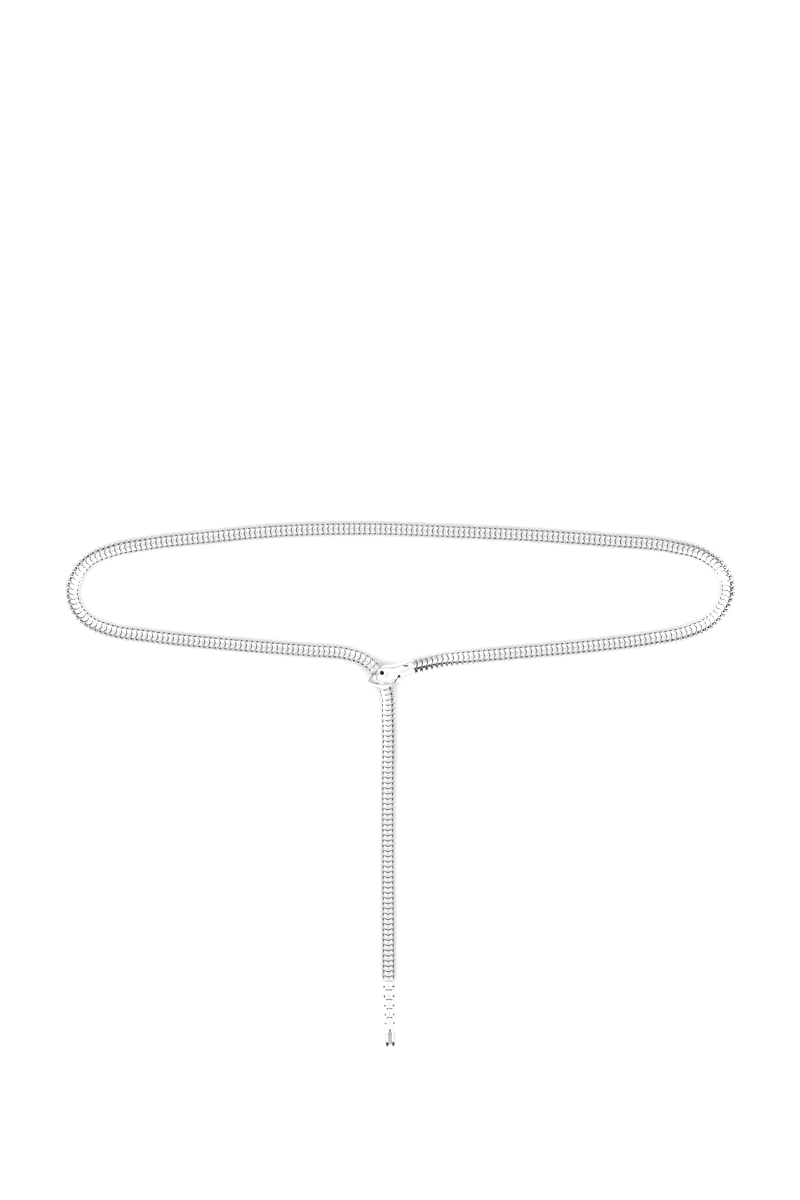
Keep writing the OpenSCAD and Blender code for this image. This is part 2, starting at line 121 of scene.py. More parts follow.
def soft_light(name, place, size, watts, towards=(0, 0.06, 0)):
    """A square area light that faces a point."""
    light = bpy.data.objects.new(name, bpy.data.lights.new(name, "AREA"))
    light.data.size = size
    light.data.energy = watts
    light.location = place
    aim = Vector(towards) - light.location
    light.rotation_euler = aim.to_track_quat("-Z", "Y").to_euler()
    bpy.context.scene.collection.objects.link(light)
    return light


soft_light("top_light", (-1.1, 0.9, 2.0), 1.2, 6)
soft_light("right_light", (1.3, -0.5, 1.3), 0.8, 7)
soft_light("left_light", (-1.3, -0.5, 1.3), 0.8, 7)

# %% [markdown]
# ## Shader groups
# Two effects serve more than one material, so each is a node group that is built once. The first
# turns a mask, 1 deep in a recess and 0 on an open surface, into painted shade: the dark that
# gathers between metal parts is painted into the colour. The second gives the fine grain of
# polished metal: long faint polishing lines for the bump and soft clouds for the roughness. Groups
# put out colours and values only, and the shader itself stays in the material.

# %% Helpers for node groups
def new_group(name, inputs, outputs):
    """A shader node group with its sockets, its nodes and its two end nodes."""
    group = bpy.data.node_groups.new(name, "ShaderNodeTree")
    for socket, kind, value in inputs:
        made = group.interface.new_socket(socket, in_out="INPUT", socket_type="NodeSocket" + kind)
        made.default_value = value
    for socket, kind in outputs:
        group.interface.new_socket(socket, in_out="OUTPUT", socket_type="NodeSocket" + kind)
    start = group.nodes.new("NodeGroupInput")
    end = group.nodes.new("NodeGroupOutput")
    return group, start.outputs, end.inputs


def node(tree, kind, values=None, **settings):
    """A node with its settings, and with values or links for its inputs."""
    made = tree.nodes.new("ShaderNode" + kind)
    for name, value in settings.items():
        setattr(made, name, value)
    for socket, value in (values or {}).items():
        if isinstance(value, bpy.types.NodeSocket):
            tree.links.new(value, made.inputs[socket])
        else:
            made.inputs[socket].default_value = value
    return made


# %% Painted shade group
# painted shade: the recess mask, made a little uneven, mixes the clean colour towards the dark one
painted_shade, given, result = new_group(
    "painted_shade",
    [("Clean", "Color", (0.9, 0.9, 0.9, 1)), ("Dark", "Color", (0.03, 0.03, 0.03, 1)),
     ("Recess", "Float", 0), ("Cloud Size", "Float", 0.004)],
    [("Color", "Color"), ("Depth", "Float")])
place = node(painted_shade, "TexCoord").outputs["Object"]
per_metre = node(painted_shade, "Math", {0: 1, 1: given["Cloud Size"]}, operation="DIVIDE")
clouds = node(painted_shade, "TexNoise", {"Vector": place, "Scale": per_metre.outputs[0], "Detail": 3})
uneven = node(painted_shade, "MapRange", {"Value": clouds.outputs["Fac"], "To Min": 0.8, "To Max": 1.1})
depth = node(painted_shade, "Math", {0: given["Recess"], 1: uneven.outputs["Result"]},
             operation="MULTIPLY", use_clamp=True)
colour = node(painted_shade, "Mix", {"Factor": depth.outputs[0], "A": given["Clean"], "B": given["Dark"]},
              data_type="RGBA")
painted_shade.links.new(colour.outputs["Result"], result["Color"])
painted_shade.links.new(depth.outputs[0], result["Depth"])
print("group:", painted_shade.name)

# %% Polish group
# where the painted shade lies (Depth), the roughness moves towards a duller value
polish, given, result = new_group(
    "polish",
    [("Line Size", "Float", 0.0004), ("Rough", "Float", 0.08), ("Rough Change", "Float", 0.06),
     ("Depth", "Float", 0), ("Shade Rough", "Float", 0.5)],
    [("Roughness", "Float"), ("Height", "Float")])
place = node(polish, "TexCoord").outputs["Object"]
stretched = node(polish, "Mapping", {"Vector": place, "Rotation": (0.3, 0.2, 0.6),
                                     "Scale": (0.12, 1, 1)})
per_line = node(polish, "Math", {0: 1, 1: given["Line Size"]}, operation="DIVIDE")
lines = node(polish, "TexNoise", {"Vector": stretched.outputs[0], "Scale": per_line.outputs[0],
                                  "Detail": 4, "Roughness": 0.6})
per_cloud = node(polish, "Math", {0: per_line.outputs[0], 1: 12}, operation="DIVIDE")
haze = node(polish, "TexNoise", {"Vector": place, "Scale": per_cloud.outputs[0], "Detail": 2})
wander = node(polish, "Math", {0: haze.outputs["Fac"], 1: given["Rough Change"]},
              operation="MULTIPLY")
clean = node(polish, "Math", {0: given["Rough"], 1: wander.outputs[0]}, operation="ADD")
dull = node(polish, "Mix", {"Factor": given["Depth"], "A": clean.outputs[0],
                            "B": given["Shade Rough"]}, data_type="FLOAT")
polish.links.new(dull.outputs["Result"], result["Roughness"])
polish.links.new(lines.outputs["Fac"], result["Height"])
print("group:", polish.name)

# %% [markdown]
# ## Materials
# The chain and the castings are both plated and polished, so both are the same recipe with their
# own values: full metal, a pale silver, painted shade where a piece's own recess mask says so, and
# polishing lines. Each piece carries that mask as an attribute in its mesh, so the painted shade
# follows its shape in every view. The links also carry a small mark in their UV map: painted shade
# where a crease is pressed into the middle of each scale.

# %% Silver materials
def placed_group(tree, group, values):
    """A node group placed in a material with its own values."""
    made = tree.nodes.new("ShaderNodeGroup")
    made.node_tree = group
    for socket, value in values.items():
        if isinstance(value, bpy.types.NodeSocket):
            tree.links.new(value, made.inputs[socket])
        else:
            made.inputs[socket].default_value = value
    return made.outputs


def new_material(name):
    """A material, its node tree and its shader."""
    material = bpy.data.materials.new(name)
    material.use_nodes = True
    return material, material.node_tree, material.node_tree.nodes["Principled BSDF"]


def bump(tree, shader, height, strength, distance):
    """Bump on a shader from a height."""
    bumped = node(tree, "Bump", {"Height": height, "Strength": strength, "Distance": distance})
    tree.links.new(bumped.outputs[0], shader.inputs["Normal"])


silver_white = (0.93, 0.93, 0.925, 1)
# near black for the painted shade in recesses and gaps
painted_shade_dark = (0.004, 0.004, 0.004, 1)
polish_depth = 0.00002


def silver(name, rough, line_size, bump_strength, mask=None):
    """Polished silver plate with painted shade in its recesses."""
    material, tree, shader = new_material(name)
    recess = node(tree, "Attribute", attribute_name="recess").outputs["Fac"]
    if mask:
        recess = node(tree, "Math", {0: recess, 1: mask(tree)}, operation="MAXIMUM").outputs[0]
    shaded = placed_group(tree, painted_shade, {"Clean": silver_white, "Dark": painted_shade_dark,
                                         "Recess": recess})
    grain = placed_group(tree, polish, {"Line Size": line_size, "Rough": rough,
                                        "Depth": shaded["Depth"]})
    tree.links.new(shaded["Color"], shader.inputs["Base Color"])
    tree.links.new(grain["Roughness"], shader.inputs["Roughness"])
    shader.inputs["Metallic"].default_value = 1
    bump(tree, shader, grain["Height"], bump_strength, polish_depth)
    return material


def crease_shade(tree):
    """A mask for painted shade: 1 in the short crease in the middle of a scale, which the link's UV
    map measures in millimetres from the middle of the scale, and 0 elsewhere."""
    half_len, half_w = 0.5, 0.3
    marks = node(tree, "UVMap", uv_map="link").outputs["UV"]
    scaled = node(tree, "VectorMath", {0: marks, 1: (1 / half_len, 1 / half_w, 0)},
                  operation="MULTIPLY")
    away = node(tree, "VectorMath", {0: scaled.outputs[0]}, operation="LENGTH")
    soft = node(tree, "MapRange", {"Value": away.outputs["Value"], "From Min": 0.3, "From Max": 1.3,
                                   "To Min": 0.75, "To Max": 0})
    return soft.outputs["Result"]


chain_silver = silver("chain_plating", rough=0.16, line_size=0.0005, bump_strength=0.25,
                      mask=crease_shade)
polished_silver = silver("cast_plating", rough=0.1, line_size=0.0006, bump_strength=0.2)
print("materials:", chain_silver.name, polished_silver.name)

# %% [markdown]
# ## Black stone
# The eye is a small black cabochon. It is nearly black all through, with a thin clear gloss, so
# it gets a dark base with faint clouds and a smooth coat.

# %% Black stone and its solid
black_stone, tree, shader = new_material("eye_black")
place = node(tree, "TexCoord").outputs["Object"]
clouds = node(tree, "TexNoise", {"Vector": place, "Scale": 900, "Detail": 4})
blacks = node(tree, "Mix", {"Factor": clouds.outputs["Fac"], "A": (0.002, 0.002, 0.003, 1),
                            "B": (0.006, 0.006, 0.007, 1)}, data_type="RGBA")
rough = node(tree, "MapRange", {"Value": clouds.outputs["Fac"], "To Min": 0.18, "To Max": 0.3})
tree.links.new(blacks.outputs["Result"], shader.inputs["Base Color"])
tree.links.new(rough.outputs["Result"], shader.inputs["Roughness"])
shader.inputs["Specular IOR Level"].default_value = 0.04
bump(tree, shader, clouds.outputs["Fac"], 0.05, polish_depth)


def dress(node_name, material):
    """Gives a CAD solid that stays in view a new material."""
    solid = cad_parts[node_name]
    solid.data.materials.clear()
    solid.data.materials.append(material)


dress("eye", black_stone)
dress("neck_pin", polished_silver)

# %% [markdown]
# ## Floor
# A plain matt white sheet, wide enough that its edge never shows. It is a stage, not a part.

# %% White floor
floor_white, tree, shader = new_material("floor_white")
place = node(tree, "TexCoord").outputs["Object"]
paper = node(tree, "TexNoise", {"Vector": place, "Scale": 14, "Detail": 5})
whites = node(tree, "Mix", {"Factor": paper.outputs["Fac"], "A": (0.93, 0.93, 0.93, 1),
                            "B": (0.97, 0.97, 0.97, 1)}, data_type="RGBA")
tree.links.new(whites.outputs["Result"], shader.inputs["Base Color"])
shader.inputs["Roughness"].default_value = 0.8
shader.inputs["Specular IOR Level"].default_value = 0.1
bump(tree, shader, paper.outputs["Fac"], 0.05, 0.0005)

floor_half = 6
floor_z = -0.0001
sheet = bmesh.new()
bmesh.ops.create_grid(sheet, x_segments=1, y_segments=1, size=floor_half,
                      matrix=Matrix.Translation((0, 0, floor_z)))
floor = bpy.data.objects.new("floor", bpy.data.meshes.new("floor"))
sheet.to_mesh(floor.data)
sheet.free()
floor.data.materials.append(floor_white)
bpy.context.scene.collection.objects.link(floor)
floor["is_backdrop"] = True
print("floor:", 2 * floor_half, "m wide")

# %% [markdown]
# ## Route of the chain
# Every link sits on one smooth curve that runs out of the neck, round the waist, under the
# snake's head and down to the rattle. The route is the one that the solids were built on: a
# short table of places, joined by a spline whose slopes take the spacing of the places into
# account. Each row also says how far the chain is lifted and how far it is rolled over, because a
# real chain doesn't lie flat everywhere. Lengths in this part of the script are millimetres, the
# unit in which such a chain is described, and each finished piece is brought to metres.

# %% Route table and curve
MM = 0.001
chain_w, chain_h, chain_round = 7.3, 5.0, 1.6
floor_gap = 0.02

# x, y, lift, roll in degrees
route = np.array([
    (3.6, 63.6, 1.7, 38), (9, 65, 1.6, 38), (22, 68, 0.6, 30), (38.5, 70, 0, 12), (71, 73, 0, 6),
    (104.5, 76, 0, 6), (137, 80, 0, 8), (160, 84.5, 0, 16), (169, 88.5, 0, 22),
    (176, 95.5, 0, 27), (180.2, 105, 0, 30), (179.8, 112.5, 0, 28), (175, 120.5, 0, 22),
    (166.5, 126.5, 0, 14), (151, 130.5, 0, 4), (115.5, 134, 0, 0), (71.5, 137, 0, 0),
    (27.5, 139, 0, 0), (-16, 140.5, 0, 0), (-71.5, 139, 0, 0), (-104.5, 136, 0, 0),
    (-137.5, 132.5, 0, 4), (-159, 128.5, 0, 10), (-170, 124, 0, 17), (-177.5, 116, 0, 20),
    (-180.5, 106.5, 0, 21), (-178, 97, 0, 20), (-171, 89.5, 0, 17), (-160, 85, 0, 10),
    (-137.5, 81.5, 0, 6), (-93.5, 77, 0, 4), (-49.5, 73.5, 0, 4), (-28, 71.5, 0.5, 6),
    (-20.5, 69, 1.2, 6), (-14.5, 64.5, 1.5, 2), (-10, 58, 1.4, -4), (-7.1, 50, 0.9, -10),
    (-6.5, 38, 0.2, -8), (-6.7, -10, 0, -2), (-6.3, -105.6, 0, 0)], float)
# the row under the head, where the loop ends and the tail begins
head_row = 34
curve_steps = 12
# the corners of the links reach out further than the tube, so the loop is a hair narrower
drawn_in = 0.9982


def spline(rows, i, t):
    """A point between rows i and i + 1, with slopes set by the distances between the rows."""
    last = len(rows) - 1
    b, c = rows[i], rows[i + 1]
    a = rows[i - 1] if i > 0 else 2 * b - c
    d = rows[i + 2] if i + 2 <= last else 2 * c - b
    d1, d2, d3 = (np.linalg.norm((q - p)[:2]) for p, q in ((a, b), (b, c), (c, d)))
    m1 = d2 * ((b - a) / d1 - (c - a) / (d1 + d2) + (c - b) / d2)
    m2 = d2 * ((c - b) / d2 - (d - b) / (d2 + d3) + (d - c) / d3)
    return ((2 * t ** 3 - 3 * t ** 2 + 1) * b + (t ** 3 - 2 * t ** 2 + t) * m1
            + (3 * t ** 2 - 2 * t ** 3) * c + (t ** 3 - t ** 2) * m2)


def rest_height(roll):
    """Height of the middle line of a chain that rests on the floor, rolled over."""
    turn = math.radians(roll)
    half_w, half_h = chain_w / 2 - chain_round, chain_h / 2 - chain_round
    return half_w * abs(math.sin(turn)) + half_h * math.cos(turn) + chain_round + floor_gap


points = [spline(route, i, k / curve_steps)
          for i in range(len(route) - 1) for k in range(curve_steps)] + [route[-1]]
line = np.array([(x * drawn_in, y, rest_height(roll) + max(0, lift), roll)
                 for x, y, lift, roll in points])
steps = np.linalg.norm(np.diff(line[:, :3], axis=0), axis=1)
run = np.concatenate([[0], np.cumsum(steps)])
loop_run = run[head_row * curve_steps]
tail_run = run[-1] - loop_run
print("loop:", round(loop_run, 1), "mm, tail:", round(tail_run, 1), "mm")


# %% Frame of a link on the route
def on_route(s):
    """Place and roll at a distance along the route."""
    return np.array([np.interp(s, run, line[:, c]) for c in range(4)])


def link_frame(s, reach=0.6):
    """Matrix that puts a link at distance s: x along the chain, y to its left, z off its face."""
    here = on_route(s)
    ahead = Vector((on_route(s + reach) - on_route(s - reach))[:3]).normalized()
    left = Vector((0, 0, 1)).cross(ahead).normalized()
    turned = Matrix((ahead, left, ahead.cross(left))).transposed().to_4x4()
    return Matrix.Translation(here[:3]) @ turned @ Matrix.Rotation(-math.radians(here[3]), 4, "X")


print("first link at", [round(c, 1) for c in link_frame(0).translation])

# %% [markdown]
# ## One link
# A link is a pair of scale plates, front and back, joined by a tab on each side. A loop on each
# side reaches forwards and takes the next link's tab. It could be boxes with many bevels, but it
# is repeated some three hundred times, so it is a few dozen faces that carry only the real
# outlines: a plate with a curved front and a slight crown, a six-cornered open loop, and a tab.
# The loop's opening has squarer corners than its outside, so the tab's foot has room in it. In
# the tightest bends that isn't enough, and some neighbours cut into each other. What lies inside
# the chain, or faces a gap, is marked in the recess attribute, and there the colour gets painted
# shade.

# %% Values of a link
link_pitch = 2.85
scale_half_w, scale_gap, scale_bulge, scale_t, crown = 2.2, 0.62, 1.2, 0.8, 0.22
scale_len = link_pitch - scale_gap
post_x, tab_half_l, tab_h, tab_foot_h = -0.3, 0.45, 3.8, 2.0
tab_in_y, tab_out_y, tab_foot_y = 1.55, 2.12, 3.0
loop_half_l, loop_wall, loop_in_y, loop_out_y = 1.18, 0.4, 0.83, 3.58
loop_h = 2.7
# how far the corners are cut back along the sides, and where the cut ends, as a share
outer_cut, outer_corner, inner_cut, inner_corner = 0.9, 0.55, 0.25, 0.85
# where a link of the loop is turned to the route: between its plates and its loops
link_middle = 1.3
# how much painted shade the faces get: open ones, sides, ends of the plates, and faces inside
# the chain
FLAT, SIDE, EDGE, DEEP = 0.0, 0.35, 0.75, 1.0
NO_MARK = (9, 9)


def marked(bm, faces, recess, mark=None):
    """Writes the recess of some faces, which sets their painted shade, and where they lie on the
    scale for the painted crease.
    """
    depth = bm.faces.layers.float.get("recess") or bm.faces.layers.float.new("recess")
    uv = bm.loops.layers.uv.get("link") or bm.loops.layers.uv.new("link")
    for face in faces:
        face[depth] = recess
        for loop in face.loops:
            loop[uv].uv = mark(loop.vert.co) if mark else NO_MARK


def face_of(bm, outline):
    """One flat face from a few corners."""
    corners = [bm.verts.new(p) for p in outline]
    return bm.faces.new(corners)


def pushed(bm, faces, way):
    """Makes a solid of a face region and its copy moved by a vector, and returns the copy. The
    extrude operator does the same, but lists its faces in another order on each run."""
    far = {}
    for face in faces:
        for v in face.verts:
            if v not in far:
                far[v] = bm.verts.new(v.co)
    rim = [(loop.vert, loop.link_loop_next.vert) for face in faces for loop in face.loops
           if len(loop.edge.link_faces) == 1]
    bmesh.ops.translate(bm, verts=list(far.values()), vec=way)
    copy = [bm.faces.new([far[v] for v in face.verts]) for face in faces]
    for a, b in rim:
        bm.faces.new((a, b, far[b], far[a]))
    return copy


# %% Scale plates, tabs and loops
def scale_plates(bm):
    """The two plates of a link, made as the front one and turned over for the back."""
    made = bmesh.new()
    marked(made, [], FLAT)
    across = (-1, -0.6, 0, 0.6, 1)
    spine = [made.verts.new((scale_len / 2 + scale_bulge * (1 - v * v), v * scale_half_w, 0))
             for v in across]
    back = [made.verts.new(v.co) for v in spine]
    bmesh.ops.translate(made, verts=back, vec=(-scale_len, 0, 0))
    bmesh.ops.translate(made, verts=made.verts, vec=(0, 0, chain_h / 2 - scale_t))
    bottom = [made.faces.new((spine[i], spine[i + 1], back[i + 1], back[i]))
              for i in range(len(spine) - 1)]
    top = pushed(made, bottom, (0, 0, scale_t))
    for face in top:
        for v in face.verts:
            v.co.z = chain_h / 2 - crown * (v.co.y / scale_half_w) ** 2
    top = set(top)
    made.normal_update()
    ends = [f for f in made.faces if f not in top and abs(f.normal.y) < 0.9]
    marked(made, ends, EDGE)
    marked(made, bottom, DEEP)
    marked(made, top, FLAT, lambda co: (co.x - scale_bulge, co.y))
    bmesh.ops.dissolve_faces(made, faces=bottom)
    return merged(bm, made, (Matrix.Identity(4), Matrix.Rotation(math.pi, 4, "X")))


def tab(bm, side):
    """A cross-shaped tab between the plates, with a foot that lies in the loop of the link
    behind."""
    h, foot = tab_h / 2, tab_foot_h / 2
    outline = [(tab_in_y, -h), (tab_out_y, -h), (tab_out_y, -foot), (tab_foot_y, -foot),
               (tab_foot_y, foot), (tab_out_y, foot), (tab_out_y, h), (tab_in_y, h)]
    made = bmesh.new()
    marked(made, [], FLAT)
    start = face_of(made, [(post_x - tab_half_l, side * y, z) for y, z in outline])
    pushed(made, [start], (2 * tab_half_l, 0, 0))
    made.normal_update()
    outer = [f for f in made.faces
             if abs(f.normal.y) > 0.9 and side * f.calc_center_median().y > tab_in_y + 0.1]
    marked(made, made.faces, DEEP)
    marked(made, outer, SIDE)
    return merged(bm, made, (Matrix.Identity(4),))


def side_loop(bm, side):
    """A loop that is open towards the plates and reaches forwards round the next link's tab."""
    middle = post_x + link_pitch
    made = bmesh.new()
    marked(made, [], FLAT)

    def bent(inset, cut, corner):
        half, out = loop_half_l - inset, loop_out_y - inset
        corners = [(-half, loop_in_y), (-half, out - cut), (-half * corner, out),
                   (half * corner, out), (half, out - cut), (half, loop_in_y)]
        return [(middle + x, side * y, -loop_h / 2) for x, y in corners]

    outer = [made.verts.new(p) for p in bent(0, outer_cut, outer_corner)]
    inner = [made.verts.new(p) for p in bent(loop_wall, inner_cut, inner_corner)]
    for i in range(len(outer) - 1):
        made.faces.new((outer[i], outer[i + 1], inner[i + 1], inner[i]))
    pushed(made, list(made.faces), (0, 0, loop_h))
    for face in made.faces:
        face.normal_update()
        out = face.calc_center_median() - Vector((middle, side * loop_in_y, 0))
        inside = max(abs(out.x) / loop_half_l, side * out.y / (loop_out_y - loop_in_y)) < 0.93
        flat = abs(face.normal.z) > 0.5
        along = abs(face.normal.x) > 0.9
        marked(made, [face], FLAT if flat else DEEP if inside else SIDE if along else FLAT)
    return merged(bm, made, (Matrix.Identity(4),))


def merged(bm, made, places):
    """Adds a small mesh to a larger one at each place, with its faces pointing outwards."""
    bmesh.ops.recalc_face_normals(made, faces=made.faces)
    part = bpy.data.meshes.new("part")
    made.to_mesh(part)
    made.free()
    for where in places:
        copy = part.copy()
        copy.transform(where)
        bm.from_mesh(copy)
        bpy.data.meshes.remove(copy)
    bpy.data.meshes.remove(part)
    return bm


one_link = bmesh.new()
marked(one_link, [], FLAT)
scale_plates(one_link)
for side in (-1, 1):
    tab(one_link, side)
    side_loop(one_link, side)
print("faces in a link:", len(one_link.faces))

# %% [markdown]
# ## The chain
# The loop and the tail are each one mesh of links set along the route. The loop's links hide
# the plain tube that stands for them in CAD, and the tail's links stand where the CAD links are.
# Joining copies keeps the file light, and each link still knows its own recesses.

# %% Pieces from bmesh
def finished(bm, name, material, node_name, smooth_angle=40):
    """Brings a mesh from millimetres to metres and makes it a piece that stands for a solid."""
    mesh = bpy.data.meshes.new(name)
    bm.to_mesh(mesh)
    bm.free()
    return finished_mesh(mesh, name, material, node_name, smooth_angle)


def finished_mesh(mesh, name, material, node_name, smooth_angle=40):
    """The same for a mesh."""
    mesh.transform(Matrix.Scale(MM, 4))
    mesh.materials.clear()
    mesh.materials.append(material)
    mesh.shade_smooth()
    mesh.set_sharp_from_angle(angle=math.radians(smooth_angle))
    piece = bpy.data.objects.new(name, mesh)
    bpy.context.scene.collection.objects.link(piece)
    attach(piece, "root")
    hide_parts(node_name)
    print(name, len(mesh.polygons), "faces")
    return piece


def finished_cast(mesh, name, node_name):
    """The same for a casting, which is smooth all round."""
    return finished_mesh(mesh, name, polished_silver, node_name, 180)


link_mesh = bpy.data.meshes.new("link")
one_link.to_mesh(link_mesh)
one_link.free()


def chain_piece(name, node_name, stations, middle):
    """One mesh of links at distances along the route, each turned as the route runs a distance
    middle further on."""
    chain = bmesh.new()
    for s in stations:
        copy = link_mesh.copy()
        copy.transform(link_frame(s + middle) @ Matrix.Translation((-middle, 0, 0)))
        chain.from_mesh(copy)
        bpy.data.meshes.remove(copy)
    return finished(chain, name, chain_silver, node_name)


tail_links = math.floor(tail_run / link_pitch) - 1
tail_step = tail_run / (tail_links + 1)
loop_links = math.floor(loop_run / tail_step)
chain_piece("loop_links", "loop_chain",
            [loop_run - k * tail_step for k in range(loop_links + 1)], middle=link_middle)
chain_piece("tail_links", "tail_chain",
            [loop_run + k * tail_step for k in range(1, tail_links + 1)], middle=0)
print("links:", loop_links + 1, "in the loop,", tail_links, "in the tail")

# %% [markdown]
# ## Cast forms
# The head, the rattle and the tip are castings: a few sections joined into a smooth skin, with
# holes and slits cut in and every edge a little soft from polishing. So each one is lofted
# through rings that follow a smooth curve between the measured sections, cut with simple cutters,
# and then remeshed into small even faces. The remesh joins what overlaps and rounds the edges, as
# casting and polishing do. A cavity measure on the finished mesh then says where shade is painted
# into the colour, and narrow holes, which it can't feel well, are marked by place.

# %% Loft, cutters and remesh
def superellipse(c, s, power):
    """A point on a rounded box section, from a point on the circle."""
    return math.copysign(abs(c) ** power, c), math.copysign(abs(s) ** power, s)


def lofted(rings, sides=48, power=0.85, between=5):
    """A closed skin through rings of (x, low y, high y, bottom, widest height, top), with a few
    more rings between each two on a smooth curve."""
    bm = bmesh.new()
    loops = []
    table = np.array(rings, float)
    close = [spline(table, i, k / between) for i in range(len(table) - 1) for k in range(between)]
    for x, low, high, bottom, wide, top in [*close, table[-1]]:
        verts = bmesh.ops.create_circle(bm, segments=sides, radius=1)["verts"]
        for v in verts:
            a, b = superellipse(v.co.x, v.co.y, power)
            tall = top - wide if b > 0 else wide - bottom
            v.co = (x, (low + high) / 2 + a * (high - low) / 2, wide + b * tall)
        loops.append(list({e for v in verts for e in v.link_edges}))
    for a, b in zip(loops, loops[1:]):
        bmesh.ops.bridge_loops(bm, edges=a + b)
    bmesh.ops.holes_fill(bm, edges=loops[0] + loops[-1], sides=0)
    bmesh.ops.recalc_face_normals(bm, faces=bm.faces)
    return bm


def tube(radius, length, place, axis="Z", sides=48):
    """A closed cylinder about a place."""
    bm = bmesh.new()
    turn = {"X": Matrix.Rotation(math.pi / 2, 4, "Y"), "Y": Matrix.Rotation(math.pi / 2, 4, "X"),
            "Z": Matrix.Identity(4)}[axis]
    bmesh.ops.create_cone(bm, cap_ends=True, segments=sides, radius1=radius, radius2=radius,
                          depth=length, matrix=Matrix.Translation(place) @ turn)
    return bm


def drill(radius, length, xy, bottom, face=1):
    """An upright cutter that ends at a height, from above (1) or turned over, from below (-1)."""
    return tube(radius, length, (*xy, face * (bottom + length / 2)))


def block(low, high, turn=0):
    """A box between two corners, turned about the middle of its low x side."""
    bm = bmesh.new()
    size = [h - l for l, h in zip(low, high)]
    middle = [(l + h) / 2 for l, h in zip(low, high)]
    bmesh.ops.create_cube(bm, size=1, matrix=Matrix.Translation(middle)
                          @ Matrix.Diagonal((*size, 1)))
    if turn:
        pivot = Vector((low[0], middle[1], 0))
        bmesh.ops.rotate(bm, verts=bm.verts, cent=pivot,
                         matrix=Matrix.Rotation(math.radians(turn), 3, "Z"))
    return bm


def scratch_object(bm):
    """An object for work in progress, which is removed again."""
    mesh = bpy.data.meshes.new("scratch")
    bm.to_mesh(mesh)
    bm.free()
    made = bpy.data.objects.new("scratch", mesh)
    bpy.context.scene.collection.objects.link(made)
    return made


def apply_all(made):
    """Applies an object's modifiers to its mesh."""
    bpy.context.view_layer.update()
    graph = bpy.context.evaluated_depsgraph_get()
    mesh = bpy.data.meshes.new_from_object(made.evaluated_get(graph))
    made.modifiers.clear()
    made.data = mesh


def shape_of(made):
    """The shape of a scratch object, which is removed."""
    bm = bmesh.new()
    bm.from_mesh(made.data)
    bpy.data.objects.remove(made)
    return bm


def combined(made, parts, how):
    """Cuts parts from an object, or joins them to it."""
    for part in parts:
        tool = part if isinstance(part, bpy.types.Object) else scratch_object(part)
        step = made.modifiers.new("step", "BOOLEAN")
        step.operation, step.object, step.solver = how, tool, "EXACT"
        apply_all(made)
        bpy.data.objects.remove(tool)
    return made


def polished_cast(made, voxel, rounds=3):
    """Small even faces with soft edges, with its recesses marked for painted shade. The object is
    used up.
    """
    remesh = made.modifiers.new("cast", "REMESH")
    remesh.mode, remesh.voxel_size = "VOXEL", voxel
    apply_all(made)
    bm = shape_of(made)
    for _ in range(rounds):
        bmesh.ops.smooth_vert(bm, verts=bm.verts, factor=0.5, use_axis_x=True, use_axis_y=True,
                              use_axis_z=True)
    mesh = bpy.data.meshes.new("cast")
    bm.to_mesh(mesh)
    bm.free()
    mark_recesses(mesh, voxel)
    return mesh


def mark_recesses(mesh, size, gain=8.8, threshold=0.05, blur=6):
    """Writes how hollow the surface is round each vertex, blurred, as the recess attribute, which
    paints shade into the creases.
    """
    count = len(mesh.vertices)
    co, normal = np.zeros(count * 3), np.zeros(count * 3)
    mesh.vertices.foreach_get("co", co)
    mesh.vertex_normals.foreach_get("vector", normal)
    co, normal = co.reshape(-1, 3), normal.reshape(-1, 3)
    ends = np.zeros(len(mesh.edges) * 2, int)
    mesh.edges.foreach_get("vertices", ends)
    a, b = ends.reshape(-1, 2).T
    along = (co[b] - co[a]) / size
    hollow, links = np.zeros(count), np.zeros(count)
    np.add.at(hollow, a, (along * normal[a]).sum(1))
    np.add.at(hollow, b, (-along * normal[b]).sum(1))
    np.add.at(links, ends, 1)
    hollow /= links
    for _ in range(blur):
        total = hollow.copy()
        np.add.at(total, a, hollow[b])
        np.add.at(total, b, hollow[a])
        hollow = total / (links + 1)
    recess = np.clip((hollow - threshold) * gain, 0, 1)
    attribute = mesh.attributes.new("recess", "FLOAT", "POINT")
    attribute.data.foreach_set("value", recess.astype(np.float32))


def painted(mesh, rule, keep=1):
    """Keeps a share of the recess attribute and deepens it by a rule on place, for painted shade.
    """
    values = mesh.attributes["recess"].data
    for v, value in zip(mesh.vertices, values):
        value.value = max(keep * value.value, min(1, rule(v.co)))


def in_hole(co, middle, radius, rim=0.12):
    """1 inside an upright hole, with a soft rim, and 0 outside it."""
    away = math.hypot(co.x - middle[0], co.y - middle[1])
    return max(0, min(1, (radius + rim - away) / rim))


def in_slot(co, start, length, width, turn=0, rim=0.12):
    """1 inside an upright slot that runs from start at an angle, and 0 outside it."""
    c, s = math.cos(math.radians(turn)), math.sin(math.radians(turn))
    dx, dy = co.x - start[0], co.y - start[1]
    along, across = dx * c + dy * s, abs(dy * c - dx * s)
    if not -rim < along < length + rim:
        return 0
    return max(0, min(1, (width / 2 + rim - across) / rim))


print("helpers for cast forms are ready")

# %% [markdown]
# ## The snake's head
# The head is one casting that lies over the chain: a round neck with a socket for the chain, a
# domed skull with its eye on top, and a thin pointed lower jaw, which reaches past the snout and
# shows the open mouth as a shallow hollow. The chain runs under skull and jaw and is held there
# by a flat hook. The sections of all three come from the outline in the photograph: each row is a
# share of the length and the two sides as shares of the width. The socket, the seat of the eye,
# the pit at the corner of the mouth, the line that runs from it and the slit near the neck are
# cut in afterwards.

